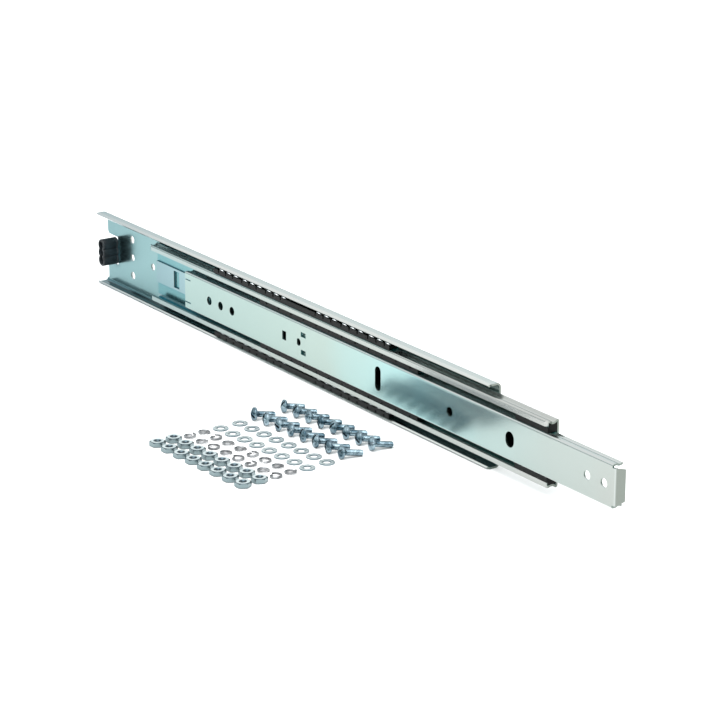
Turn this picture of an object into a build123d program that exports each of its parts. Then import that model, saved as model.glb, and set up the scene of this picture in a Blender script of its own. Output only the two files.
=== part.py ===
from build123d import *
from math import acos, atan, atan2, cos, degrees, radians, sin, sqrt
import os

os.makedirs("parts", exist_ok=True)

# Lengths run along X from the rear end of the outer rail, in mm.
# Depths run along Y from the plane of the outer rail's lips, heights from mid height.
rail_height = 52.0
outer_length = 457.2
middle_rear = 72.4
middle_length = 439.9
inner_rear = 122.3
inner_front = 572.8
wall = 1.2
mid_z = rail_height / 2

# Balls and the two races they run in.
ball_diameter = 5.556
ball_radius = ball_diameter / 2
ball_gap = 0.05
race_radius = ball_radius + 0.06
race_y = 4.3

# Outer rail section.
outer_depth = 10.0
outer_lip_radius = 3.2
outer_bend_radius = 3.0
outer_race_z = mid_z - wall - ball_gap - ball_radius

# Middle rail section: one clear gap behind it, ridges either side of the groove.
web_gap = 0.3
ridge_radius = wall + 0.05
middle_back = outer_depth - wall - web_gap
middle_lip_y = 0.5
middle_lip_z = 16.4
groove_bottom = outer_race_z - race_radius - wall
inner_race_z = groove_bottom - ball_gap - ball_radius

# Inner rail section.
inner_face_y = -0.8
inner_ridge_radius = 1.35
inner_ridge_z = inner_race_z - 3.55
inner_edge_y = middle_back - wall - 0.4

# Loose fasteners, number 8 unified thread, laid out as one grid turned a little from the rail.
# They repeat, so their rounds have few flats.
round_flats = 12
shank_flats = 8
layout_x = 353.4
layout_y = -85.0
layout_turn = 4.0
columns = 8
column_pitch = 12.25
nut_flats = 8.73
nut_thickness = 3.18
nut_bore = 4.2
nut_row = -47.5
nut_row_pitch = 11.7
washer_diameter = 9.53
washer_bore = 4.76
washer_thickness = 0.9
washer_row = -1.4
washer_row_pitch = 14.3
spring_diameter = 7.6
spring_bore = 5.0
spring_thickness = 1.0
spring_row = -24.0
spring_row_pitch = 10.5
screw_diameter = 4.1
screw_length = 12.7
head_diameter = 8.2
head_thickness = 2.9
screw_row = 24.7
screw_row_pitch = 22.8
screw_heading = 13.0

# The whole kit is centred on the origin and stands on the ground.
flange_overhang = 2.2
rear_x = -(inner_front - flange_overhang) / 2
turn = radians(layout_turn)
first_nut_y = layout_y - (columns - 1) / 2 * column_pitch * sin(turn) + nut_row * cos(turn)
kit_near = first_nut_y - nut_flats / sqrt(3) * sin(turn + radians(60))
lip_y = -(kit_near + outer_depth) / 2


def section_plane(x):
    # looks along the rail: local x is depth, local y is height
    return Plane(origin=(rear_x + x, lip_y, mid_z), x_dir=(0, 1, 0), z_dir=(1, 0, 0))


def web_plane(y):
    # looks at the webs from the open side: local x is length, local y is height
    return Plane(origin=(rear_x, lip_y + y, mid_z), x_dir=(1, 0, 0), z_dir=(0, -1, 0))


def ground_plane(z):
    return Plane(origin=(rear_x, lip_y, z), x_dir=(1, 0, 0), z_dir=(0, 0, 1))


# Lips of the outer and middle rails end in rounded corners.
lip_corner = 3.5


def lip_corner_outline(end_x, way, near_y):
    # what one rounded corner leaves out, seen from above
    CenterArc((end_x - way * lip_corner, near_y + lip_corner), lip_corner, -90, way * 90)
    Polyline(
        (end_x, near_y + lip_corner),
        (end_x + way, near_y + lip_corner),
        (end_x + way, near_y - 1),
        (end_x - way * lip_corner, near_y - 1),
        (end_x - way * lip_corner, near_y),
    )


# Outer rail: a C channel whose lips curl over the outer balls.
# At the rear its flanges run past the web.
notch_length = 14.0
notch_height = 21.0
notch_corner = 3.0
rear_hole_x = 34.6
rear_hole_spacing = 26.2
rear_hole_diameter = 5.5
centre_hole_diameter = 5.0
front_hole_x = 63.0

with BuildPart() as outer_rail:
    with BuildSketch(section_plane(-flange_overhang)):
        with BuildLine():
            Line((outer_depth, 0), (outer_depth, mid_z - outer_bend_radius))
            CenterArc((outer_depth - outer_bend_radius, mid_z - outer_bend_radius), outer_bend_radius, 0, 90)
            Line((outer_depth - outer_bend_radius, mid_z), (outer_lip_radius, mid_z))
            CenterArc((outer_lip_radius, mid_z - outer_lip_radius), outer_lip_radius, 90, 45)
            offset(amount=wall, side=Side.LEFT, mode=Mode.ADD)
        make_face()
        mirror(about=Plane.XZ)
    extrude(amount=outer_length + flange_overhang)
    with BuildSketch(ground_plane(0)):
        with BuildLine():
            lip_corner_outline(outer_length, 1, 0)
        make_face()
    extrude(amount=rail_height, mode=Mode.SUBTRACT)
    # notch for the bumper and the rear mounting holes
    with BuildSketch(web_plane(outer_depth)):
        with Locations((notch_length / 2, 0)):
            Rectangle(notch_length, notch_height)
        with Locations((-flange_overhang / 2, 0)):
            Rectangle(flange_overhang, rail_height - 2 * outer_bend_radius)
        with Locations((rear_hole_x, rear_hole_spacing / 2), (rear_hole_x, -rear_hole_spacing / 2)):
            Circle(rear_hole_diameter / 2)
        with Locations((rear_hole_x, 0), (front_hole_x, 0)):
            Circle(centre_hole_diameter / 2)
    extrude(amount=2 * wall, both=True, mode=Mode.SUBTRACT)
    # round the corners where the notch opens to the rear
    notch_edges = outer_rail.edges().filter_by(Axis.Y).filter_by_position(Axis.X, rear_x - 0.1, rear_x + 0.1)
    fillet(notch_edges.filter_by_position(Axis.Z, mid_z - notch_height, mid_z + notch_height), notch_corner)

# Rear bumper: three lobes, hollow at the open end, plugged into the notch.
lobe_radius = 4.15
lobe_spacing = 5.65
bumper_near = -3.4
bumper_far = outer_depth - wall
bumper_x = 6.7 + lobe_radius
lobe_centres = [(bumper_x, i * lobe_spacing) for i in (-1, 0, 1)]
plug_height = notch_height - 5

with BuildPart() as rear_bumper:
    with BuildSketch(web_plane(bumper_near)):
        with Locations(*lobe_centres):
            Circle(lobe_radius)
    extrude(amount=bumper_near - bumper_far)
    with BuildSketch(web_plane(bumper_near)):
        with Locations(*lobe_centres):
            Circle(lobe_radius - 1.4)
    extrude(amount=-4, mode=Mode.SUBTRACT)
    with BuildSketch(web_plane(bumper_far)):
        with Locations(((bumper_x + notch_length) / 2, 0)):
            Rectangle(notch_length - bumper_x, plug_height)
    extrude(amount=-wall)

# Middle rail: one sheet bent over the outer balls and back under them.
far_ridge_y = middle_back - ridge_radius
near_ridge_y = middle_lip_y + ridge_radius
middle_front = middle_rear + middle_length
ridge_reach = race_radius + ridge_radius
far_ridge_z = outer_race_z - sqrt(ridge_reach ** 2 - (far_ridge_y - race_y) ** 2)
near_ridge_z = outer_race_z - sqrt(ridge_reach ** 2 - (near_ridge_y - race_y) ** 2)
far_turn = degrees(atan2(outer_race_z - far_ridge_z, race_y - far_ridge_y))
near_turn = degrees(atan2(outer_race_z - near_ridge_z, race_y - near_ridge_y))

with BuildPart() as intermediate_rail:
    with BuildSketch(section_plane(middle_rear)):
        with BuildLine():
            Line((middle_back, 0), (middle_back, far_ridge_z))
            CenterArc((far_ridge_y, far_ridge_z), ridge_radius, 0, far_turn)
            CenterArc((race_y, outer_race_z), race_radius, far_turn + 180, near_turn - far_turn)
            CenterArc((near_ridge_y, near_ridge_z), ridge_radius, near_turn, 180 - near_turn)
            Line((middle_lip_y, near_ridge_z), (middle_lip_y, middle_lip_z))
            offset(amount=wall, side=Side.LEFT, mode=Mode.ADD)
        make_face()
        mirror(about=Plane.XZ)
    extrude(amount=middle_length)
    for end_x, way in ((middle_rear, -1), (middle_front, 1)):
        with BuildSketch(ground_plane(0)):
            with BuildLine():
                lip_corner_outline(end_x, way, middle_lip_y)
            make_face()
        extrude(amount=rail_height, mode=Mode.SUBTRACT)

# Stop plate at the rear of the middle rail, with its window.
plate_front = 125.0
plate_height = 15.0
window_rear = 95.9
window_front = 103.0
window_height = 12.0

with BuildPart() as rear_stop_plate:
    with BuildSketch(web_plane(middle_back - wall)):
        with Locations(((middle_rear + plate_front) / 2, 0)):
            Rectangle(plate_front - middle_rear, plate_height)
        with Locations(((window_rear + window_front) / 2, 0)):
            Rectangle(window_front - window_rear, window_height, mode=Mode.SUBTRACT)
    extrude(amount=wall)

# Front guides: plastic blocks between the middle rail and the inner rail.
guide_rear = 483.0
guide_front = middle_front
guide_gap = 0.15
inner_top = inner_ridge_z + inner_ridge_radius
guide_low = inner_top + guide_gap
guide_section = [
    (middle_lip_y, guide_low),
    (middle_back - wall, guide_low),
    (middle_back - wall, groove_bottom),
    (middle_lip_y + wall, groove_bottom),
    (middle_lip_y + wall, middle_lip_z),
    (middle_lip_y, middle_lip_z),
]


def front_guide(side):
    with BuildPart() as guide:
        with BuildSketch(section_plane(guide_rear)):
            Polygon(*[(y, side * z) for y, z in guide_section], align=None)
        extrude(amount=guide_front - guide_rear)
    return guide


upper_front_guide = front_guide(1)
lower_front_guide = front_guide(-1)

# Inner rail: a channel that faces the open side, with its web cut for latches and screws.
flange_front = 570.0
tab_depth = 6.5
tab_bend_radius = 1.8
tab_root_height = 21.8
tab_tip_height = 18.6
tab_bend_x = inner_front - tab_bend_radius
ridge_y = race_y - sqrt((race_radius + inner_ridge_radius) ** 2 - (inner_race_z - inner_ridge_z) ** 2)
ridge_turn = degrees(atan2(inner_race_z - inner_ridge_z, race_y - ridge_y))
edge_turn = degrees(acos((inner_edge_y - race_y) / (race_radius + wall)))

latch_round_x = 153.6
latch_round_pitch = 14.2
front_round_x = 422.5
small_hole = 5.8
front_screw_x = 548.7
front_screw_pitch = 14.4
front_screw_diameter = 5.5
latch_window_x = 245.05
latch_window_length = 4.5
latch_window_height = 6.0
half_round_x = 261.7
half_round_diameter = 4.8
half_round_flat = 1.8
tongue_front = 270.0
tongue_length = 5.6
tongue_width = 3.2
tongue_height = 5.9
tongue_sink = 1.7
tongue_play = 0.1
middle_slot_x = 349.3
middle_slot_length = 15.5
middle_slot_width = 6.0
front_slot_x = 479.8
front_slot_length = 9.5
front_slot_width = 7.7
rear_slit_x = 125.9
rear_slit_height = 8.0
rear_slit_length = 7.2
rear_slit_width = 1.0

with BuildPart() as inner_rail:
    with BuildSketch(section_plane(inner_rear)):
        with BuildLine():
            Line((inner_face_y, 0), (inner_face_y, inner_ridge_z))
            CenterArc((inner_face_y + inner_ridge_radius, inner_ridge_z), inner_ridge_radius, 180, -90)
            Line((inner_face_y + inner_ridge_radius, inner_top), (ridge_y, inner_top))
            CenterArc((ridge_y, inner_ridge_z), inner_ridge_radius, 90, ridge_turn - 90)
            CenterArc((race_y, inner_race_z), race_radius, ridge_turn + 180, 180 - ridge_turn - edge_turn)
            offset(amount=wall, side=Side.RIGHT, mode=Mode.ADD)
        make_face()
        mirror(about=Plane.XZ)
    extrude(amount=flange_front - inner_rear)
    # front tab, bent back from the web
    with BuildSketch(ground_plane(mid_z)):
        with BuildLine():
            Line((flange_front - 2, inner_face_y), (tab_bend_x, inner_face_y))
            CenterArc((tab_bend_x, inner_face_y + tab_bend_radius), tab_bend_radius, -90, 90)
            Line((inner_front, inner_face_y + tab_bend_radius), (inner_front, tab_depth))
            offset(amount=wall, side=Side.LEFT, mode=Mode.ADD)
        make_face()
    extrude(amount=tab_root_height / 2, both=True)
    for side in (1, -1):
        with BuildSketch(section_plane(inner_front - wall - 0.5)):
            Polygon(
                (inner_face_y + tab_bend_radius, side * tab_root_height / 2),
                (tab_depth, side * tab_tip_height / 2),
                (tab_depth, side * (tab_root_height / 2 + 1)),
                (inner_face_y + tab_bend_radius, side * (tab_root_height / 2 + 1)),
                align=None,
            )
        extrude(amount=wall + 1, mode=Mode.SUBTRACT)
    # holes and slots in the web
    with BuildSketch(web_plane(inner_face_y)):
        with Locations(*[(latch_round_x + i * latch_round_pitch, 0) for i in range(3)], (front_round_x, 0)):
            Circle(small_hole / 2)
        with Locations((front_screw_x, 0), (front_screw_x + front_screw_pitch, 0)):
            Circle(front_screw_diameter / 2)
        with Locations((latch_window_x, 0)):
            Rectangle(latch_window_length, latch_window_height)
        with Locations((middle_slot_x, 0)):
            SlotOverall(middle_slot_length, middle_slot_width, rotation=90)
        with Locations((front_slot_x, 0)):
            SlotOverall(front_slot_length, front_slot_width, rotation=90)
        with Locations((rear_slit_x, rear_slit_height), (rear_slit_x, -rear_slit_height)):
            Rectangle(rear_slit_length, rear_slit_width)
        with Locations(*[(tongue_front - tongue_length / 2, side * tongue_height) for side in (1, -1)]):
            Rectangle(tongue_length, tongue_width)
    extrude(amount=2 * wall, both=True, mode=Mode.SUBTRACT)
    # half-round hole with its flat to the rear
    with BuildSketch(web_plane(inner_face_y)):
        with Locations((half_round_x, 0)):
            Circle(half_round_diameter / 2)
        with Locations((half_round_x - half_round_flat - half_round_diameter / 2, 0)):
            Rectangle(half_round_diameter, half_round_diameter, mode=Mode.SUBTRACT)
    extrude(amount=2 * wall, both=True, mode=Mode.SUBTRACT)
    # two lanced tongues, bent in from the web and open to the rear
    for side in (1, -1):
        with BuildSketch(ground_plane(mid_z + side * tongue_height)):
            Polygon(
                (tongue_front + tongue_play, inner_face_y),
                (tongue_front + tongue_play, inner_face_y + wall),
                (tongue_front - tongue_length + tongue_play, inner_face_y + wall + tongue_sink),
                (tongue_front - tongue_length + tongue_play, inner_face_y + tongue_sink),
                align=None,
            )
        extrude(amount=tongue_width / 2 - tongue_play, both=True)

# Ball cages: strips with one square pocket for each ball, and a near wall slit over each ball.
cage_thickness = 1.3
slit_width = 1.2
slit_low = -0.3
outer_wall_low = -1.6
outer_wall_high = 1.6
inner_wall_low = -1.75
inner_wall_high = 0.95
outer_cage_rear = 157.5
outer_cell = 28.8
outer_cells = 7
cage_near = 0.5
outer_cage_far = 8.3
empty_cell = 3
ball_pitch = 8.75
inner_cage_rear = 214.3
inner_cage_length = 174.3
inner_ball_pitch = 14.4
inner_first_ball = 222.3
inner_balls = 12
inner_cage_far = 7.1

outer_ball_x = [
    outer_cage_rear + (cell + 0.52) * outer_cell + i * ball_pitch
    for cell in range(outer_cells) if cell != empty_cell for i in (-1, 0, 1)
]
inner_ball_x = [inner_first_ball + i * inner_ball_pitch for i in range(inner_balls)]


def ball_cage(side, race_z, rear, length, far, ball_xs, pocket_far, wall_low, wall_high):
    low, high = race_z + wall_low, race_z + wall_high
    pocket_near = race_y - ball_radius
    with BuildPart() as cage:
        with BuildSketch(ground_plane(mid_z + side * race_z)):
            with Locations((rear + length / 2, (cage_near + far) / 2)):
                Rectangle(length, far - cage_near)
            with Locations(*[(x, (pocket_near + pocket_far) / 2) for x in ball_xs]):
                Rectangle(ball_diameter, pocket_far - pocket_near, mode=Mode.SUBTRACT)
        extrude(amount=cage_thickness / 2, both=True)
        with BuildSketch(web_plane(cage_near)):
            with Locations((rear + length / 2, side * (low + high) / 2)):
                Rectangle(length, high - low)
        extrude(amount=cage_near - pocket_near)
        with BuildSketch(web_plane(cage_near)):
            with Locations(*[(x, side * (race_z + slit_low + high) / 2) for x in ball_xs]):
                Rectangle(slit_width, high - race_z - slit_low)
        extrude(amount=cage_near - pocket_near, mode=Mode.SUBTRACT)
    return cage


# One ball, drawn with 26 flats because there are many: an edge meets each race and the pocket.
ball_flat = ball_diameter * cos(radians(22.5))

with BuildPart() as ball:
    Box(ball_flat, ball_flat, ball_flat, rotation=(22.5, 0, 0))
    chamfer(ball.edges(), ball_flat * (1 - 1 / (1 + sqrt(2))) / 2)


def ball_row(side, race_z, ball_xs):
    with BuildPart() as balls:
        with Locations(*[(rear_x + x, lip_y + race_y, mid_z + side * race_z) for x in ball_xs]):
            add(ball.part)
    return balls


outer_args = (outer_cage_rear, outer_cell * outer_cells, outer_cage_far, outer_ball_x)
outer_args += (race_y + ball_radius, outer_wall_low, outer_wall_high)
inner_args = (inner_cage_rear, inner_cage_length, inner_cage_far, inner_ball_x)
inner_args += (inner_cage_far + 1, inner_wall_low, inner_wall_high)
upper_outer_cage = ball_cage(1, outer_race_z, *outer_args)
lower_outer_cage = ball_cage(-1, outer_race_z, *outer_args)
upper_inner_cage = ball_cage(1, inner_race_z, *inner_args)
lower_inner_cage = ball_cage(-1, inner_race_z, *inner_args)
upper_outer_balls = ball_row(1, outer_race_z, outer_ball_x)
lower_outer_balls = ball_row(-1, outer_race_z, outer_ball_x)
upper_inner_balls = ball_row(1, inner_race_z, inner_ball_x)
lower_inner_balls = ball_row(-1, inner_race_z, inner_ball_x)

# Loose fasteners on the ground in front of the rail, in rows along the turned grid.
layout_plane = Plane(
    origin=(rear_x + layout_x, lip_y + layout_y, 0), x_dir=(cos(turn), sin(turn), 0), z_dir=(0, 0, 1)
)


def grid(row, row_pitch):
    xs = [(i - (columns - 1) / 2) * column_pitch for i in range(columns)]
    return [(x, y) for y in (row, row + row_pitch) for x in xs]


with BuildPart() as hex_nuts:
    with BuildSketch(layout_plane):
        with Locations(*grid(nut_row, nut_row_pitch)):
            RegularPolygon(nut_flats / 2, 6, major_radius=False)
            RegularPolygon(nut_bore / 2, round_flats, mode=Mode.SUBTRACT)
    extrude(amount=nut_thickness)

with BuildPart() as flat_washers:
    with BuildSketch(layout_plane):
        with Locations(*grid(washer_row, washer_row_pitch)):
            RegularPolygon(washer_diameter / 2, round_flats)
            RegularPolygon(washer_bore / 2, round_flats, mode=Mode.SUBTRACT)
    extrude(amount=washer_thickness)

# each spring washer has its split in another place
split_reach = (spring_diameter + spring_bore) / 4
split_step = 137.5
split_width = 0.6

with BuildPart() as spring_washers:
    with BuildSketch(layout_plane):
        with Locations(*grid(spring_row, spring_row_pitch)):
            RegularPolygon(spring_diameter / 2, round_flats)
            RegularPolygon(spring_bore / 2, round_flats, mode=Mode.SUBTRACT)
        for i, (x, y) in enumerate(grid(spring_row, spring_row_pitch)):
            split_x = x + split_reach * cos(radians(split_step * i))
            split_y = y + split_reach * sin(radians(split_step * i))
            with Locations(Location((split_x, split_y, 0), (0, 0, split_step * i))):
                Rectangle(spring_diameter - spring_bore, split_width, mode=Mode.SUBTRACT)
    extrude(amount=spring_thickness)

# Each screw rests on the rim of its head and on its tip.
screw_tilt = atan((head_diameter - screw_diameter) / 2 / screw_length)
screw_axis_z = head_diameter / 2 * cos(screw_tilt)
heading = radians(screw_heading)

with BuildPart() as screws:
    for x, y in grid(screw_row, screw_row_pitch):
        screw_plane = Plane(
            origin=layout_plane.from_local_coords(Vector(x, y, screw_axis_z)),
            x_dir=(cos(heading), -sin(heading), 0),
            z_dir=(sin(heading) * cos(screw_tilt), cos(heading) * cos(screw_tilt), -sin(screw_tilt)),
        )
        with BuildSketch(screw_plane):
            RegularPolygon(screw_diameter / 2, shank_flats)
        extrude(amount=screw_length)
        with BuildSketch(screw_plane):
            RegularPolygon(head_diameter / 2, round_flats)
        extrude(amount=-head_thickness)

outer_rail.part.label = "outer_rail"
rear_bumper.part.label = "rear_bumper"
intermediate_rail.part.label = "intermediate_rail"
rear_stop_plate.part.label = "rear_stop_plate"
upper_front_guide.part.label = "upper_front_guide"
lower_front_guide.part.label = "lower_front_guide"
inner_rail.part.label = "inner_rail"
upper_outer_cage.part.label = "upper_outer_cage"
lower_outer_cage.part.label = "lower_outer_cage"
upper_inner_cage.part.label = "upper_inner_cage"
lower_inner_cage.part.label = "lower_inner_cage"
upper_outer_balls.part.label = "upper_outer_balls"
lower_outer_balls.part.label = "lower_outer_balls"
upper_inner_balls.part.label = "upper_inner_balls"
lower_inner_balls.part.label = "lower_inner_balls"
hex_nuts.part.label = "hex_nuts"
flat_washers.part.label = "flat_washers"
spring_washers.part.label = "spring_washers"
screws.part.label = "screws"

export_step(outer_rail.part, "parts/outer_rail.step")
export_step(rear_bumper.part, "parts/rear_bumper.step")
export_step(intermediate_rail.part, "parts/intermediate_rail.step")
export_step(rear_stop_plate.part, "parts/rear_stop_plate.step")
export_step(upper_front_guide.part, "parts/upper_front_guide.step")
export_step(lower_front_guide.part, "parts/lower_front_guide.step")
export_step(inner_rail.part, "parts/inner_rail.step")
export_step(upper_outer_cage.part, "parts/upper_outer_cage.step")
export_step(lower_outer_cage.part, "parts/lower_outer_cage.step")
export_step(upper_inner_cage.part, "parts/upper_inner_cage.step")
export_step(lower_inner_cage.part, "parts/lower_inner_cage.step")
export_step(upper_outer_balls.part, "parts/upper_outer_balls.step")
export_step(lower_outer_balls.part, "parts/lower_outer_balls.step")
export_step(upper_inner_balls.part, "parts/upper_inner_balls.step")
export_step(lower_inner_balls.part, "parts/lower_inner_balls.step")
export_step(hex_nuts.part, "parts/hex_nuts.step")
export_step(flat_washers.part, "parts/flat_washers.step")
export_step(spring_washers.part, "parts/spring_washers.step")
export_step(screws.part, "parts/screws.step")
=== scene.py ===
import bpy, bmesh, math, random
from mathutils import Matrix, Vector


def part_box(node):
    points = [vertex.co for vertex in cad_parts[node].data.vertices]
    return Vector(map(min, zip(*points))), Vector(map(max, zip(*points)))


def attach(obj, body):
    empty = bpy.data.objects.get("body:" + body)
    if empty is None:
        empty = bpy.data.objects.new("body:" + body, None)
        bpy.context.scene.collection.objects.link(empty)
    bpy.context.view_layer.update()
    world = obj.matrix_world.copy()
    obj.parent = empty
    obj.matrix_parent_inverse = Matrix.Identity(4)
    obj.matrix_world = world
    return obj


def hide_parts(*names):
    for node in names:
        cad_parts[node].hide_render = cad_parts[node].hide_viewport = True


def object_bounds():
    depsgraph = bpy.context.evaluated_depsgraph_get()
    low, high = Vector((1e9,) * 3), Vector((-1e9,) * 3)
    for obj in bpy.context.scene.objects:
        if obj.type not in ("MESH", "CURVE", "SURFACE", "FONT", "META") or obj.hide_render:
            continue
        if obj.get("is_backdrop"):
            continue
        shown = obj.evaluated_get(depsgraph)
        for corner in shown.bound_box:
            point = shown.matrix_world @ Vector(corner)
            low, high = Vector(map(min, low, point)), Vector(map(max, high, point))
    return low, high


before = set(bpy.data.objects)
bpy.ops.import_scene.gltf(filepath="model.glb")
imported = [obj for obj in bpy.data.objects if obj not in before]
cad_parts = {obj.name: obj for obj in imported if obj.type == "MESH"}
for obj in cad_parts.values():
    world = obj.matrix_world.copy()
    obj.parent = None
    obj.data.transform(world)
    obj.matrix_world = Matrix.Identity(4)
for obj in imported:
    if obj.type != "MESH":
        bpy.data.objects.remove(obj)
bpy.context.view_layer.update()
mm = 0.001                       # sizes are in mm and angles in degrees unless a note says otherwise
rng = random.Random(7)
print("frame loaded,", len(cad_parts), "nodes")


# small helpers

def srgb(hexText):
    # sRGB hex to linear rgba
    values = [int(hexText[i:i + 2], 16) / 255 for i in (1, 3, 5)]
    return [v / 12.92 if v <= 0.04045 else ((v + 0.055) / 1.055) ** 2.4 for v in values] + [1.0]


def addNode(tree, kind, inputs=None, output=0, stops=None, **settings):
    # adds one node and gives back an output; inputs are numbers, hex colours or the sockets that feed it
    node = tree.nodes.new("ShaderNode" + kind)
    for key, value in settings.items():
        setattr(node, key, value)
    for key, value in (inputs or {}).items():
        if isinstance(value, bpy.types.NodeSocket):
            tree.links.new(value, node.inputs[key])
        else:
            node.inputs[key].default_value = srgb(value) if isinstance(value, str) else value
    for i, (place, colour) in enumerate(stops or []):
        elements = node.color_ramp.elements
        element = elements[i] if i < len(elements) else elements.new(place)
        element.position, element.color = place, srgb(colour)
    return node.outputs[output]


def newMaterial(name, look):
    # principled shader with the constant values on its own sockets
    material = bpy.data.materials.new(name)
    material.use_nodes = True
    shader = material.node_tree.nodes["Principled BSDF"]
    for key, value in look.items():
        shader.inputs[key].default_value = value
    return material, material.node_tree, shader


def dress(piece, material):
    piece.data.materials.clear()
    piece.data.materials.append(material)


def gridMesh(bm, rings, closedLoop=False):
    # joins closed rings of points into quads; every ring has the same number of points
    made = [[bm.verts.new(p) for p in ring] for ring in rings]
    count = len(made[0])
    last = len(made) if closedLoop else len(made) - 1
    for i in range(last):
        a, b = made[i], made[(i + 1) % len(made)]
        for j in range(count):
            k = (j + 1) % count
            bm.faces.new((a[j], a[k], b[k], b[j]))
    return made


def newPiece(name, bm, body, material, smoothAngle):
    # makes the object, smooth up to the angle in degrees, and tells the frame what it rides on
    bmesh.ops.recalc_face_normals(bm, faces=bm.faces)
    mesh = bpy.data.meshes.new(name)
    bm.to_mesh(mesh)
    bm.free()
    piece = bpy.data.objects.new(name, mesh)
    bpy.context.scene.collection.objects.link(piece)
    mesh.materials.append(material)
    mesh.shade_smooth()
    mesh.set_sharp_from_angle(angle=math.radians(smoothAngle))
    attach(piece, body)
    return piece


def solidBoxes(nodeName):
    # lowest and highest corner of each separate solid in a CAD node
    bm = bmesh.new()
    bm.from_mesh(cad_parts[nodeName].data)
    bmesh.ops.remove_doubles(bm, verts=bm.verts, dist=1e-6)
    seen, boxes = set(), []
    for start in bm.verts:
        if start in seen:
            continue
        seen.add(start)
        group, queue = [], [start]
        while queue:
            vert = queue.pop()
            group.append(vert.co.copy())
            for edge in vert.link_edges:
                other = edge.other_vert(vert)
                if other not in seen:
                    seen.add(other)
                    queue.append(other)
        low = Vector([min(p[i] for p in group) for i in range(3)])
        high = Vector([max(p[i] for p in group) for i in range(3)])
        boxes.append((low, high))
    bm.free()
    boxes.sort(key=lambda b: (round(b[0].y, 4), b[0].x))
    return boxes


def ringPoints(radius, z, count):
    angles = [2 * math.pi * i / count for i in range(count)]
    return [Vector((radius * math.cos(angle), radius * math.sin(angle), z)) for angle in angles]


def threadRing(z, pitch, count, radiusAt):
    # one ring of a thread; the wave goes from 1 down to 0 and back within each pitch
    points = []
    for i in range(count):
        angle = 2 * math.pi * i / count
        wave = abs(2 * ((z / pitch + i / count) % 1) - 1)
        radius = radiusAt(wave)
        points.append(Vector((radius * math.cos(angle), radius * math.sin(angle), z)))
    return points


# zinc plate on the rolled rails

zincLook = {
    "roughness": 0.2,
    "roughnessSpread": (-0.03, 0.04),
    "rollLineWidth": 0.5,        # mm between rolling lines, drawn coarser than the real 0.05
    "rollLineLength": 166.7,     # mm
    "lineDepth": 0.012,          # mm
    "lineStrength": 0.05,
    "cloudSize": 70.0,           # mm across a cloud that shifts the tints: partly passivate tone, partly the ragged edge of painted reflections
    "cloudDrift": 0.1,           # how far a cloud shifts the tint along the rail, as a share of its length
    "creviceReach": 5.0,         # mm
    "creviceOpen": (0.35, 0.85),     # share of free view where the painted crevice shade is darkest, and where it ends
    "creviceMetal": 0.35,        # metallic value where the painted crevice shade is darkest; it rises to 1 where the surface is open
    "webFacing": (0.8, 0.97),    # how squarely a face looks sideways to count as web
    "endFacing": (0.55, 0.9),    # the same along the rail, for ends
    "endFaceTint": "#7C827C",         # darker tint on faces that look along the rail: the ends and the bent tab
    "ridgeBlend": 0.2,           # mm
    "midHeight": 26.0,           # mm
}


def paintCreviceShade(tree, colour, shadeTint, reach, openRange):
    # painted shade: the colour turns to the shade tint where surfaces face each other closely; gives back the
    # colour and how open each place is
    hollow = addNode(tree, "AmbientOcclusion", {"Distance": reach * mm}, "AO", samples=4)
    lit = addNode(tree, "MapRange", {"Value": hollow, "From Min": openRange[0], "From Max": openRange[1]})
    return addNode(tree, "MixRGB", {"Fac": lit, "Color1": shadeTint, "Color2": colour}), lit


def paintLowerFlangeReflection(tree, colour, coords, split, normal, flange):
    # painted reflection: the trough of the lower flange is painted with the dark race's reflection in long
    # streaks; the rim of its lip stays bright
    streakScale = [1000 / size for size in flange["streakSize"]]
    strip = addNode(tree, "Mapping", {"Vector": coords, "Scale": streakScale})
    streaks = addNode(tree, "TexNoise", {"Vector": strip, "Scale": 1.0, "Detail": 1.0})
    share = addNode(tree, "MapRange", {"Value": streaks, "From Min": flange["streakEdges"][0],
                                       "From Max": flange["streakEdges"][1]})
    streaky = addNode(tree, "MixRGB", {"Fac": share, "Color1": flange["dark"], "Color2": flange["light"]})
    low = addNode(tree, "MapRange", {"Value": split.outputs["Z"], "From Min": flange["top"] * mm,
                                     "From Max": (flange["top"] - flange["topBlend"]) * mm})
    inside = addNode(tree, "MapRange", {"Value": split.outputs["Y"],
                                        "From Min": flange["lipEdge"] + flange["lipBlend"][0] * mm,
                                        "From Max": flange["lipEdge"] + flange["lipBlend"][1] * mm,
                                        "To Max": flange["strength"]})
    upward = addNode(tree, "MapRange", {"Value": normal.outputs["Z"], "From Min": flange["upFacing"][0],
                                        "From Max": flange["upFacing"][1]})
    lowInside = addNode(tree, "Math", {0: low, 1: inside}, operation="MULTIPLY")
    amount = addNode(tree, "Math", {0: lowInside, 1: upward}, operation="MULTIPLY")
    return addNode(tree, "MixRGB", {"Fac": amount, "Color1": colour, "Color2": streaky})


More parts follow.
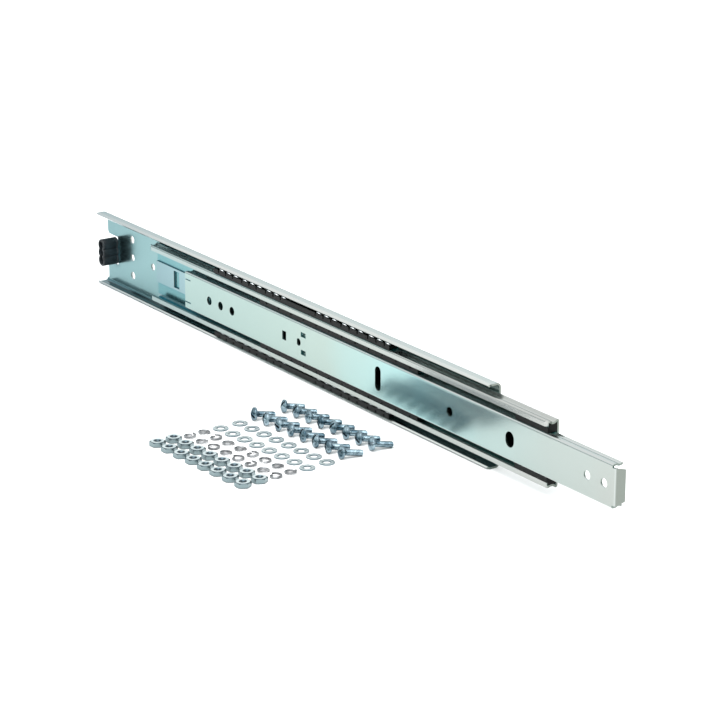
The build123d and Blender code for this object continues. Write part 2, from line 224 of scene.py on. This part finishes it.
def zincTint(tree, coords, split, look, span, tints):
    # painted reflection and light: the tints along the rail paint the shading and reflections of the webs;
    # ridges and lips are painted lighter and greyer by how they face, the ends and the tab darker; all drift
    # along the rail
    normal = addNode(tree, "SeparateXYZ", {0: addNode(tree, "TexCoord", output="Normal")}).node
    cloud = addNode(tree, "TexNoise", {"Vector": coords, "Scale": 1000 / look["cloudSize"], "Detail": 3.0})
    drift = addNode(tree, "Math", {0: cloud, 1: 2 * look["cloudDrift"], 2: -look["cloudDrift"]},
                    operation="MULTIPLY_ADD")
    along = addNode(tree, "MapRange", {"Value": split.outputs["X"],
                                       "From Min": span[0], "From Max": span[1]})
    place = addNode(tree, "Math", {0: along, 1: drift}, operation="ADD")
    sideways = addNode(tree, "Math", {0: normal.outputs["Y"]}, operation="ABSOLUTE")
    facesOut = addNode(tree, "MapRange", {"Value": sideways, "From Min": look["webFacing"][0],
                                          "From Max": look["webFacing"][1]})
    height = addNode(tree, "Math", {0: split.outputs["Z"], 1: look["midHeight"] * mm}, operation="SUBTRACT")
    offMiddle = addNode(tree, "Math", {0: height}, operation="ABSOLUTE")
    betweenRidges = addNode(tree, "MapRange", {"Value": offMiddle,
                                               "From Min": (tints["ridgeFrom"] + look["ridgeBlend"]) * mm,
                                               "From Max": tints["ridgeFrom"] * mm})
    onWeb = addNode(tree, "Math", {0: facesOut, 1: betweenRidges}, operation="MULTIPLY")
    # painted reflection: these ramps along the rail stand in for the shading and reflections of the metal,
    # and the ridge ramp is painted lighter than the web's
    ridge = addNode(tree, "ValToRGB", {0: place}, stops=tints["ridge"])
    web = addNode(tree, "ValToRGB", {0: place}, stops=tints["web"])
    colour = addNode(tree, "MixRGB", {"Fac": onWeb, "Color1": ridge, "Color2": web})
    endways = addNode(tree, "Math", {0: normal.outputs["X"]}, operation="ABSOLUTE")
    onEnd = addNode(tree, "MapRange", {"Value": endways, "From Min": look["endFacing"][0],
                                       "From Max": look["endFacing"][1]})
    colour = addNode(tree, "MixRGB", {"Fac": onEnd, "Color1": colour, "Color2": look["endFaceTint"]})
    if "lowerFlange" in tints:
        colour = paintLowerFlangeReflection(tree, colour, coords, split, normal, tints["lowerFlange"])
    # painted crevice shade over all of it, its tint drifting along the rail
    paintedShade = addNode(tree, "ValToRGB", {0: place}, stops=tints["paintedShade"])
    return paintCreviceShade(tree, colour, paintedShade, look["creviceReach"], look["creviceOpen"])


def zincPlatedSteel(name, look, span, tints):
    # clear zinc plate on rolled strip: near mirror, faint lines along the rail, cool tint that drifts; the
    # tint carries painted reflections, painted light on ridges and lips, and painted crevice shade
    material, tree, shader = newMaterial(name, {"Metallic": 1.0, "Roughness": look["roughness"]})
    coords = addNode(tree, "TexCoord", output="Object")
    split = addNode(tree, "SeparateXYZ", {0: coords}).node
    colour, lit = zincTint(tree, coords, split, look, span, tints)
    tree.links.new(colour, shader.inputs["Base Color"])
    # the metal is lowered under the painted crevice shade, by the same occlusion mask
    metal = addNode(tree, "MapRange", {"Value": lit, "To Min": look["creviceMetal"], "To Max": 1.0})
    tree.links.new(metal, shader.inputs["Metallic"])
    # rolling lines run along the rail, so the pattern is stretched along it
    lineScale = [1000 / look[key] for key in ("rollLineLength", "rollLineWidth", "rollLineWidth")]
    stretch = addNode(tree, "Mapping", {"Vector": coords, "Scale": lineScale})
    lines = addNode(tree, "TexNoise", {"Vector": stretch, "Scale": 1.0, "Detail": 2.0})
    smoothest, roughest = [look["roughness"] + change for change in look["roughnessSpread"]]
    rough = addNode(tree, "MapRange", {"Value": lines, "To Min": smoothest, "To Max": roughest})
    tree.links.new(rough, shader.inputs["Roughness"])
    bump = addNode(tree, "Bump", {"Height": lines, "Strength": look["lineStrength"],
                                  "Distance": look["lineDepth"] * mm})
    tree.links.new(bump, shader.inputs["Normal"])
    return material


def nodeSpan(name):
    # where a piece begins and ends along the rail
    low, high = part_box(name)
    return low.x, high.x


# web and ridge ramps are painted reflections and shading along each rail; the shade ramp tints the painted
# crevice shade
zincOuter = zincPlatedSteel("zincPlatedSteelOuter", zincLook, nodeSpan("outer_rail"), {
    "web": [(0.0, "#6D8E92"), (0.5, "#8DAEAE"), (1.0, "#A9B6B2")],
    "ridge": [(0.0, "#9CA6A8"), (0.3, "#B7BBB9"), (1.0, "#BDC2BF")],
    "paintedShade": [(0.0, "#14505C"), (0.4, "#2A5652"), (1.0, "#4A5E58")],
    "ridgeFrom": 24.0,           # mm from mid height, where the lips begin
    # painted reflection of the dark race in the trough of the lower flange
    "lowerFlange": {
        "top": 9.0, "topBlend": 2.0,             # mm from the ground
        "dark": "#06181E", "light": "#40707A", "strength": 0.92,
        "streakSize": (333.3, 1.6, 16.67),       # mm along, across and up
        "streakEdges": (0.42, 0.6),
        "lipEdge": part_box("outer_rail")[0].y,
        "lipBlend": (1.0, 2.4),                  # mm inside the edge of the lip
        "upFacing": (0.2, 0.5),
    },
})
zincMiddle = zincPlatedSteel("zincPlatedSteelMiddle", zincLook, nodeSpan("intermediate_rail"), {
    "web": [(0.0, "#5E8D92"), (0.4, "#86A9A9"), (1.0, "#A3B0AC")],
    "ridge": [(0.0, "#93A3A3"), (0.4, "#A1A8A4"), (1.0, "#A9ABA8")],
    "paintedShade": [(0.0, "#0C7486"), (0.3, "#23686A"), (1.0, "#2C6A64")],
    "ridgeFrom": 16.1,
})
zincInner = zincPlatedSteel("zincPlatedSteelInner", zincLook, nodeSpan("inner_rail"), {
    # painted reflection: the bluer stop near the middle stands in for the reflection of the screws in the web
    "web": [(0.0, "#96ACA8"), (0.4, "#A0B0AA"), (0.58, "#9BBFBF"), (0.73, "#9EB0AD"), (1.0, "#A2A6A2")],
    "ridge": [(0.0, "#A9B2B2"), (1.0, "#B4B9B7")],
    "paintedShade": [(0.0, "#1C6468"), (1.0, "#2C6A64")],
    "ridgeFrom": 12.0,
})
zincPlateSmall = zincPlatedSteel("zincPlatedSteelPlate", zincLook, nodeSpan("rear_stop_plate"), {
    "web": [(0.0, "#78949A"), (1.0, "#8BA6AC")],
    "ridge": [(0.0, "#A9B2B2"), (1.0, "#A9B2B2")],
    "paintedShade": [(0.0, "#10454F"), (1.0, "#10454F")],
    "ridgeFrom": 20.0,
})


# zinc plate on the small hardware

hardwareLook = {
    "blotchSize": 4.545,         # mm across a tumbling mark
    "topFacing": (0.93, 0.985),  # how squarely a face looks up to count as a top
    "grainSize": 0.4,            # mm, plating grain, drawn coarser than the real one so that it shows
    "grainDepth": 0.02,          # mm
    "grainStrength": 0.08,
    "roughnessSpread": (-0.05, 0.08),
    "creviceOpen": (0.2, 0.75),
}


def brightZincHardware(name, pieceLook):
    # barrel-plated small parts: tumbling marks, with painted light and shade: faces that look up are painted
    # brighter than the sides, chamfers painted dark
    look = hardwareLook | pieceLook
    material, tree, shader = newMaterial(name, {"Metallic": 1.0, "Roughness": look["roughness"]})
    coords = addNode(tree, "TexCoord", output="Object")
    blotch = addNode(tree, "TexNoise", {"Vector": coords, "Scale": 1000 / look["blotchSize"], "Detail": 2.0})
    colour = addNode(tree, "ValToRGB", {0: blotch}, stops=look["marks"])
    # painted light by facing: tops brighter, sides and chamfers darker
    if "paintedSideShade" in look:
        upward = addNode(tree, "SeparateXYZ", {0: addNode(tree, "TexCoord", output="Normal")}, "Z")
        paintedSideShade = addNode(tree, "ValToRGB", {0: upward}, stops=look["paintedSideShade"])
        onTop = addNode(tree, "MapRange", {"Value": upward, "From Min": look["topFacing"][0],
                                           "From Max": look["topFacing"][1]})
        colour = addNode(tree, "MixRGB", {"Fac": onTop, "Color1": paintedSideShade, "Color2": colour})
    # painted shade in the bores, slots and other crevices
    colour = paintCreviceShade(tree, colour, look["paintedShade"], look["creviceReach"], look["creviceOpen"])[0]
    tree.links.new(colour, shader.inputs["Base Color"])
    grain = addNode(tree, "TexNoise", {"Vector": coords, "Scale": 1000 / look["grainSize"], "Detail": 2.0})
    smoothest, roughest = [look["roughness"] + change for change in look["roughnessSpread"]]
    rough = addNode(tree, "MapRange", {"Value": grain, "To Min": smoothest, "To Max": roughest})
    tree.links.new(rough, shader.inputs["Roughness"])
    bump = addNode(tree, "Bump", {"Height": grain, "Strength": look["grainStrength"],
                                  "Distance": look["grainDepth"] * mm})
    tree.links.new(bump, shader.inputs["Normal"])
    return material


# marks are the two tints of the tumbling marks, which the tops keep; the painted side shade runs from the
# side faces up to the chamfers
nutZinc = brightZincHardware("brightZincPlatedNuts", {
    "marks": [(0.35, "#BFCACC"), (0.65, "#D4DDDD")], "paintedSideShade": [(0.3, "#7A898C"), (0.5, "#46535A")],
    "roughness": 0.2, "paintedShade": "#0C1214",
    "creviceReach": 2.0,         # mm
})
screwZinc = brightZincHardware("brightZincPlatedScrews", {
    "marks": [(0.35, "#3C5460"), (0.65, "#92A5AE")],
    "roughness": 0.14, "paintedShade": "#0C1214", "creviceReach": 1.2,
})
washerZinc = brightZincHardware("brightZincPlatedWashers", {
    "marks": [(0.35, "#AEBBBC"), (0.65, "#C8D1D2")], "paintedSideShade": [(0.3, "#7C8A90"), (0.5, "#93A1A6")],
    "roughness": 0.28, "paintedShade": "#3A4446", "creviceReach": 0.5,
})
springSteel = brightZincHardware("zincPlatedSpringSteel", {
    "marks": [(0.35, "#5E6062"), (0.65, "#929496")],
    "roughness": 0.2, "paintedShade": "#121313", "creviceReach": 0.5,
})


# polished balls, and the moulded black parts

def ballBearingSteel(name, look):
    # through-hardened chrome steel, ground and polished, with a thin film of grease
    material, tree, shader = newMaterial(name, {"Metallic": 1.0, "Roughness": look["roughness"]})
    coords = addNode(tree, "TexCoord", output="Object")
    film = addNode(tree, "TexNoise", {"Vector": coords, "Scale": 1000 / look["filmSize"]})
    tint = addNode(tree, "ValToRGB", {0: film}, stops=look["film"])
    tree.links.new(tint, shader.inputs["Base Color"])
    smoothest, roughest = look["roughnessRange"]
    rough = addNode(tree, "MapRange", {"Value": film, "To Min": smoothest, "To Max": roughest})
    tree.links.new(rough, shader.inputs["Roughness"])
    return material


def mouldedBlack(name, look):
    # moulded black part: fine spark-eroded grain, a little paler where it catches dust
    material, tree, shader = newMaterial(name, {"Metallic": 0.0, "Roughness": look["roughness"],
                                                "IOR": look["ior"], "Specular IOR Level": look["gloss"]})
    coords = addNode(tree, "TexCoord", output="Object")
    dust = addNode(tree, "TexNoise", {"Vector": coords, "Scale": 1000 / look["dustSize"], "Detail": 4.0})
    tint = addNode(tree, "ValToRGB", {0: dust}, stops=look["dust"])
    tree.links.new(tint, shader.inputs["Base Color"])
    grain = addNode(tree, "TexNoise", {"Vector": coords, "Scale": 1000 / look["grainSize"], "Detail": 1.0})
    bump = addNode(tree, "Bump", {"Height": grain, "Strength": look["grainStrength"],
                                  "Distance": look["grainDepth"] * mm})
    tree.links.new(bump, shader.inputs["Normal"])
    return material


ballSteel = ballBearingSteel("polishedChromeSteel", {
    "roughness": 0.07, "roughnessRange": (0.05, 0.14),
    "filmSize": 3.333,           # mm across a patch of the film
    "film": [(0.3, "#B9BFC2"), (0.7, "#DFE3E4")],
})
acetalBlack = mouldedBlack("mouldedBlackAcetal", {
    "dust": [(0.35, "#040505"), (0.7, "#0D100F")],
    "dustSize": 6.25,            # mm
    "roughness": 0.42, "gloss": 0.12, "ior": 1.5,
    "grainSize": 0.3, "grainDepth": 0.05,        # mm
    "grainStrength": 0.25,
})
rubberBlack = mouldedBlack("mouldedBlackRubber", {
    "dust": [(0.35, "#0E1519"), (0.7, "#1B252B")], "dustSize": 6.25,
    "roughness": 0.5, "gloss": 0.4, "ior": 1.5,
    "grainSize": 0.45, "grainDepth": 0.05, "grainStrength": 0.25,
})

finishes = {
    "outer_rail": zincOuter, "intermediate_rail": zincMiddle, "inner_rail": zincInner,
    "rear_stop_plate": zincPlateSmall, "upper_front_guide": acetalBlack, "lower_front_guide": acetalBlack,
    "upper_outer_cage": acetalBlack, "lower_outer_cage": acetalBlack,
    "upper_inner_cage": acetalBlack, "lower_inner_cage": acetalBlack,
    "rear_bumper": rubberBlack, "hex_nuts": nutZinc, "flat_washers": washerZinc,
    "spring_washers": springSteel, "screws": screwZinc,
    "upper_outer_balls": ballSteel, "lower_outer_balls": ballSteel,
    "upper_inner_balls": ballSteel, "lower_inner_balls": ballSteel,
}

for nodeName, material in finishes.items():
    dress(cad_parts[nodeName], material)
print("materials made")


# balls, true spheres in place of the faceted solids

ball = {"diameter": 5.556, "segments": 32, "rings": 20, "smoothAngle": 180}
ballRows = {
    "upper_outer_balls": "upper_outer_row", "lower_outer_balls": "lower_outer_row",
    "upper_inner_balls": "upper_inner_row", "lower_inner_balls": "lower_inner_row",
}

for nodeName, body in ballRows.items():
    bm = bmesh.new()
    for low, high in solidBoxes(nodeName):
        bmesh.ops.create_uvsphere(bm, u_segments=ball["segments"], v_segments=ball["rings"],
                                  radius=ball["diameter"] / 2 * mm,
                                  matrix=Matrix.Translation((low + high) / 2))
    row = newPiece(nodeName + "Polished", bm, body, ballSteel, ball["smoothAngle"])
    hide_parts(nodeName)
print("balls made")


# loose hexagon nuts, chamfered both ends, threaded

layout = {"turn": 4.0, "heading": 13.0}     # degrees: the grid of loose parts, and the way the screws point

nut = {
    "flats": 8.73, "bore": 4.2,
    "chamferDrop": 30,           # degrees
    "faceShare": 0.94,           # washer face as a share of the flats
    "countersink": 0.3,
    "threadDepth": 0.42, "threadPitch": 0.79, "threadSteps": 20,
    "points": 72, "smoothAngle": 22,
}


def nutRings(height):
    count, apothem = nut["points"], nut["flats"] / 2 * mm
    chamferRadius = apothem * nut["faceShare"]
    slope = math.tan(math.radians(nut["chamferDrop"]))
    sideAngle = math.radians(60)

    def edgeRing(top):
        # corners are cut down by the chamfer cone, flats keep their full height
        ring = []
        for i in range(count):
            angle = 2 * math.pi * i / count
            fromCorner = angle % sideAngle
            fromCorner = min(fromCorner, sideAngle - fromCorner)
            radius = apothem / math.cos(sideAngle / 2 - fromCorner)
            drop = max(0.0, radius - chamferRadius) * slope
            z = height - drop if top else drop
            ring.append(Vector((radius * math.cos(angle), radius * math.sin(angle), z)))
        return ring

    bore, inset = nut["bore"] / 2 * mm, nut["countersink"] * mm
    mouth = bore + inset
    rings = [ringPoints(mouth, height, count), ringPoints(chamferRadius, height, count), edgeRing(True),
             edgeRing(False), ringPoints(chamferRadius, 0, count), ringPoints(mouth, 0, count)]
    for s in range(nut["threadSteps"] + 1):
        z = inset + (height - 2 * inset) * s / nut["threadSteps"]
        rings.append(threadRing(z, nut["threadPitch"] * mm, count,
                                lambda wave: bore - nut["threadDepth"] * mm * (1 - wave)))
    return rings


bm = bmesh.new()
for low, high in solidBoxes("hex_nuts"):
    place = (Matrix.Translation(((low.x + high.x) / 2, (low.y + high.y) / 2, low.z))
             @ Matrix.Rotation(math.radians(layout["turn"]), 4, "Z"))
    gridMesh(bm, [[place @ p for p in ring] for ring in nutRings(high.z - low.z)], closedLoop=True)
nuts = newPiece("hexNutsThreaded", bm, "base", nutZinc, nut["smoothAngle"])
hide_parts("hex_nuts")
print("nuts made")


# flat washers, stamped: rounded on the punch side

washer = {
    "outer": 9.53, "bore": 4.76,
    "edgeRound": 0.2,
    "bulgeShare": 0.3,           # how far in the middle of the rounded edge lies, as a share of it
    "burr": 0.06,
    "points": 56, "smoothAngle": 30,
}

bm = bmesh.new()
for low, high in solidBoxes("flat_washers"):
    place = Matrix.Translation(((low.x + high.x) / 2, (low.y + high.y) / 2, low.z))
    outer, bore, thick = washer["outer"] / 2 * mm, washer["bore"] / 2 * mm, high.z - low.z
    soft, burr = washer["edgeRound"] * mm, washer["burr"] * mm
    bulge = soft * washer["bulgeShare"]
    profile = [(outer, burr), (outer, thick - soft), (outer - bulge, thick - bulge), (outer - soft, thick),
               (bore + soft, thick), (bore + bulge, thick - bulge), (bore, thick - soft), (bore, burr),
               (bore + burr, 0), (outer - burr, 0)]
    rings = [ringPoints(radius, z, washer["points"]) for radius, z in profile]
    gridMesh(bm, [[place @ p for p in ring] for ring in rings], closedLoop=True)
washers = newPiece("flatWashersStamped", bm, "base", washerZinc, washer["smoothAngle"])
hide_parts("flat_washers")
print("flat washers made")


# spring washers: one split turn with its ends sprung apart

spring = {
    "outer": 7.5, "bore": 5.1, "edgeRound": 0.14,
    "rise": 0.95,                # mm from one end to the other
    "gap": 12, "splitLean": 14,  # degrees
    "steps": 48, "smoothAngle": 30,
}

bm = bmesh.new()
for low, high in solidBoxes("spring_washers"):
    centre = Vector(((low.x + high.x) / 2, (low.y + high.y) / 2, low.z))
    outer, bore = spring["outer"] / 2 * mm, spring["bore"] / 2 * mm
    thick, soft = high.z - low.z, spring["edgeRound"] * mm
    section = [(outer, soft), (outer, thick - soft), (outer - soft, thick), (bore + soft, thick),
               (bore, thick - soft), (bore, soft), (bore + soft, 0), (outer - soft, 0)]
    splitAt = rng.uniform(0, 360)
    rings = []
    for s in range(spring["steps"] + 1):
        share = s / spring["steps"]
        lift = spring["rise"] * mm * share
        ring = []
        for radius, z in section:
            # the saw cut leans, so its ends are skewed across the section
            lean = spring["splitLean"] * (radius - bore) / (outer - bore)
            angle = math.radians(splitAt + lean + spring["gap"] / 2 + (360 - spring["gap"]) * share)
            ring.append(centre + Vector((radius * math.cos(angle), radius * math.sin(angle), z + lift)))
        rings.append(ring)
    made = gridMesh(bm, rings)
    bm.faces.new(made[0])
    bm.faces.new(list(reversed(made[-1])))
springs = newPiece("springWashersCoiled", bm, "base", springSteel, spring["smoothAngle"])
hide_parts("spring_washers")
print("spring washers made")


# slotted pan head screws with rolled thread, lying on head rim and tip

screw = {
    "shank": 4.1, "length": 12.7, "head": 8.2, "headHeight": 2.9,
    "sideShare": 0.5,            # straight side of the head as a share of its height
    "domeSteps": 10, "domePower": 2.2,
    "domeCentre": 0.02,          # innermost ring as a share of the dome's radius
    "domeEnd": 0.5,              # how far above the side the dome ends, as a share of rimRound
    "rimRound": 0.35,
    "rimPoints": [(-0.3, -0.35), (0.0, 0.4)],    # out and towards the tip, as shares of rimRound
    "underRound": 0.15,          # edge and fillet under the head
    "threadDepth": 0.3, "threadPitch": 0.79, "threadSteps": 84, "plainNeck": 0.5,
    "tipLead": 1.2, "tipTaper": 0.14,            # over the last stretch the thread narrows by this share
    "tipEnd": 0.4, "tipShare": 0.7,              # bevel at the tip, and its radius as a share of the shank's
    "slotWidth": 1.25, "slotDepth": 1.45,
    "cutterLength": 11.48,       # longer than the head is wide
    "points": 56, "smoothAngle": 35,
}


def screwRings():
    # from the middle of the dome over the rim, under the head and down the thread to the tip, in mm
    count, headHeight = screw["points"], screw["headHeight"]
    headRadius, shank = screw["head"] / 2, screw["shank"] / 2
    sideHeight, soft, under = headHeight * screw["sideShare"], screw["rimRound"], screw["underRound"]
    domeRise = headHeight - sideHeight - soft * screw["domeEnd"]
    profile = []
    for step in range(screw["domeSteps"]):
        share = screw["domeCentre"] + (1 - screw["domeCentre"]) * step / (screw["domeSteps"] - 1)
        profile.append(((headRadius - soft) * share, domeRise * share ** screw["domePower"] - headHeight))
    profile += [(headRadius + soft * out, soft * tipward - sideHeight) for out, tipward in screw["rimPoints"]]
    profile += [(headRadius, -under), (headRadius - under, 0), (shank + under, 0), (shank, under)]
    rings = [ringPoints(radius, z, count) for radius, z in profile]
    threadLength = screw["length"] - screw["plainNeck"] - screw["tipEnd"]
    for s in range(screw["threadSteps"] + 1):
        z = screw["plainNeck"] + threadLength * s / screw["threadSteps"]
        intoTip = max(0.0, 1 - (screw["length"] - z) / screw["tipLead"])
        taper = 1 - screw["tipTaper"] * intoTip
        rings.append(threadRing(z, screw["threadPitch"], count,
                                lambda wave: (shank - screw["threadDepth"] * wave) * taper))
    rings.append(ringPoints(shank * screw["tipShare"], screw["length"], count))
    return rings


def screwTemplate():
    # one screw with its tip along +Z and its head below zero; a thin block cuts the slot
    bm = bmesh.new()
    made = gridMesh(bm, [[p * mm for p in ring] for ring in screwRings()])
    bm.faces.new(list(reversed(made[0])))
    bm.faces.new(made[-1])
    bmesh.ops.recalc_face_normals(bm, faces=bm.faces)
    blankMesh, cutterMesh = bpy.data.meshes.new("screwBlank"), bpy.data.meshes.new("slotCutter")
    bm.to_mesh(blankMesh)
    bm.free()
    bm = bmesh.new()
    block = Matrix.Diagonal((screw["cutterLength"] * mm, screw["slotWidth"] * mm,
                             2 * screw["slotDepth"] * mm, 1))
    headTop = Matrix.Translation((0, 0, -screw["headHeight"] * mm))
    bmesh.ops.create_cube(bm, size=1.0, matrix=headTop @ block)
    bm.to_mesh(cutterMesh)
    bm.free()
    blank, cutter = [bpy.data.objects.new(m.name, m) for m in (blankMesh, cutterMesh)]
    for item in (blank, cutter):
        bpy.context.scene.collection.objects.link(item)
    cut = blank.modifiers.new("slot", "BOOLEAN")
    cut.operation, cut.solver, cut.object = "DIFFERENCE", "EXACT", cutter
    finished = bpy.data.meshes.new_from_object(blank.evaluated_get(bpy.context.evaluated_depsgraph_get()))
    for item in (blank, cutter):
        bpy.data.objects.remove(item)
    for mesh in (blankMesh, cutterMesh):
        bpy.data.meshes.remove(mesh)
    return finished


template = screwTemplate()
heading = math.radians(layout["heading"])
tilt = math.atan((screw["head"] - screw["shank"]) / 2 / screw["length"])
pointing = Vector((math.sin(heading) * math.cos(tilt), math.cos(heading) * math.cos(tilt), -math.sin(tilt)))
lying = pointing.to_track_quat("Z", "X").to_matrix().to_4x4()
# how far the tip reaches out from under the head, in x and y
tipReach = [screw["length"] * d + screw["shank"] / 2 * math.sqrt(1 - d * d) for d in pointing[:2]]
bm = bmesh.new()
for low, high in solidBoxes("screws"):
    seat = Vector((high.x - tipReach[0] * mm, high.y - tipReach[1] * mm,
                   screw["head"] / 2 * math.cos(tilt) * mm))
    # each screw has rolled to a turn of its own
    place = Matrix.Translation(seat) @ lying @ Matrix.Rotation(rng.uniform(0, math.pi), 4, "Z")
    first = len(bm.verts)
    bm.from_mesh(template)
    bm.verts.ensure_lookup_table()
    for vert in bm.verts[first:]:
        vert.co = place @ vert.co
bpy.data.meshes.remove(template)
screws = newPiece("panHeadScrewsSlotted", bm, "base", screwZinc, screw["smoothAngle"])
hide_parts("screws")
print("screws made")


# rubber bumper: three soft lobes with a hollow mouth

bumper = {
    "wall": 1.35,
    "edgeRound": 0.9, "edgeSteps": 4,
    "hollowDepth": 4.0, "hollowRound": 0.36, "hollowSteps": 3, "hollowTaper": 0.2,
    "groove": [(0.96, 0.0), (1.28, 0.25), (1.6, 0.0)],       # mm from the web, and mm deep
    "closeTo": 0.2,              # mm, the back and the floor of the hollow close in to this radius
    "points": 96, "smoothAngle": 40,
    "webWall": 1.2, "plugShift": 1.2, "plugSize": (3.6, 1.1, 15.0),
}

low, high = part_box("rear_bumper")
midX, midZ = (low.x + high.x) / 2, (low.z + high.z) / 2
lobeRadius = (high.x - low.x) / 2
lobePitch = (high.z - low.z) / 2 - lobeRadius
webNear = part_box("outer_rail")[1].y - bumper["webWall"] * mm


def bumperRing(radius, y):
    # outline of three overlapping circles seen from the open side
    points = []
    for i in range(bumper["points"]):
        angle = 2 * math.pi * i / bumper["points"]
        across, upward = math.cos(angle), math.sin(angle)
        reach = 0.0
        for centreZ in (-lobePitch, 0.0, lobePitch):
            inside = radius * radius - (centreZ * across) ** 2
            if inside >= 0:
                reach = max(reach, upward * centreZ + math.sqrt(inside))
        points.append(Vector((midX + across * reach, y, midZ + upward * reach)))
    return points


# radius and place of each ring: the back, the wall with its groove, the rounded edge, the hollow
near, hollowFloor = low.y, low.y + bumper["hollowDepth"] * mm
hollowRadius, closeTo = lobeRadius - bumper["wall"] * mm, bumper["closeTo"] * mm
profile = [(closeTo, webNear), (lobeRadius, webNear)]
profile += [(lobeRadius - deep * mm, webNear - fromWeb * mm) for fromWeb, deep in bumper["groove"]]
soft = bumper["edgeRound"] * mm
for step in range(bumper["edgeSteps"] + 1):
    turn = math.radians(90 * step / bumper["edgeSteps"])
    profile.append((lobeRadius - soft * (1 - math.cos(turn)), near + soft * (1 - math.sin(turn))))
soft = bumper["hollowRound"] * mm
for step in range(1, bumper["hollowSteps"] + 1):
    turn = math.radians(90 * step / bumper["hollowSteps"])
    profile.append((hollowRadius + soft * (1 - math.sin(turn)), near + soft * (1 - math.cos(turn))))
profile += [(hollowRadius - bumper["hollowTaper"] * mm, hollowFloor), (closeTo, hollowFloor)]

bm = bmesh.new()
gridMesh(bm, [bumperRing(radius, y) for radius, y in profile])
# plug that fills the notch behind the lobes
plugPlace = Matrix.Translation((midX + bumper["plugShift"] * mm,
                                webNear + bumper["plugSize"][1] / 2 * mm, midZ))
plugBlock = Matrix.Diagonal([size * mm for size in bumper["plugSize"]] + [1])
bmesh.ops.create_cube(bm, size=1.0, matrix=plugPlace @ plugBlock)
rubber = newPiece("bumperLobes", bm, "base", rubberBlack, bumper["smoothAngle"])
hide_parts("rear_bumper")
print("bumper made")


# floor, light and camera

paper = {"reach": 60.0, "colour": "#F7F8F8", "roughness": 0.9}       # metres from the middle to an edge

bm = bmesh.new()
bmesh.ops.create_grid(bm, x_segments=2, y_segments=2, size=paper["reach"])
floorMesh = bpy.data.meshes.new("studioFloor")
bm.to_mesh(floorMesh)
bm.free()
floorPiece = bpy.data.objects.new("studioFloor", floorMesh)
bpy.context.scene.collection.objects.link(floorPiece)
floorPaint = newMaterial("whiteStudioPaper", {"Base Color": srgb(paper["colour"]),
                                              "Roughness": paper["roughness"]})[0]
floorMesh.materials.append(floorPaint)
floorPiece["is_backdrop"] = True

light = {
    # by height: white at the horizon so that the floor shows no edge, a dark band that the metal mirrors,
    # and white again overhead
    "sky": [(0.0, "#FFFFFF"), (0.015, "#FFFFFF"), (0.03, "#2E6064"), (0.09, "#2E6064"),
            (0.2, "#C9D8DA"), (0.5, "#FFFFFF")],
    "skyStrength": 1.45,
    "lampPower": 45.0, "lampSize": 2.2, "lampPlace": (0.5, -0.9, 1.9), "lampAim": (0, 0.05, 0),
}

world = bpy.data.worlds.new("softStudio")
bpy.context.scene.world = world
world.use_nodes = True
tree = world.node_tree
background = tree.nodes["Background"]
upward = addNode(tree, "SeparateXYZ", {0: addNode(tree, "TexCoord", output="Generated")}, "Z")
sky = addNode(tree, "ValToRGB", {0: upward}, stops=light["sky"])
tree.links.new(sky, background.inputs["Color"])
background.inputs["Strength"].default_value = light["skyStrength"]

lamp = bpy.data.lights.new("softbox", "AREA")
lamp.shape = "SQUARE"
lamp.size = light["lampSize"]
lamp.energy = light["lampPower"]
lampObject = bpy.data.objects.new("softbox", lamp)
bpy.context.scene.collection.objects.link(lampObject)
lampObject.location = light["lampPlace"]
lampAim = Vector(light["lampAim"]) - lampObject.location
lampObject.rotation_euler = lampAim.to_track_quat("-Z", "Y").to_euler()

view = {
    "place": (1.2808, -0.7903, 0.5299),      # metres
    "azimuth": 55.34, "elevation": 18.31, "roll": 0.09,      # degrees
    "lens": 129.25, "sensor": 36.0,          # mm
    "clip": (0.05, 200.0),
}

camera = bpy.data.cameras.new("photoCamera")
camera.lens = view["lens"]
camera.sensor_width = view["sensor"]
camera.clip_start, camera.clip_end = view["clip"]
cameraObject = bpy.data.objects.new("photoCamera", camera)
bpy.context.scene.collection.objects.link(cameraObject)
azimuth, elevation = math.radians(view["azimuth"]), math.radians(view["elevation"])
forward = Vector((-math.sin(azimuth) * math.cos(elevation), math.cos(azimuth) * math.cos(elevation),
                  -math.sin(elevation)))
right = Vector((math.cos(azimuth), math.sin(azimuth), 0.0))
up = right.cross(forward)
facing = Matrix((right, up, -forward)).transposed().to_4x4()
rolled = facing @ Matrix.Rotation(math.radians(view["roll"]), 4, "Z")
cameraObject.matrix_world = Matrix.Translation(view["place"]) @ rolled
bpy.context.scene.camera = cameraObject
bpy.context.scene.view_settings.view_transform = "Standard"
print("studio made")

low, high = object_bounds()
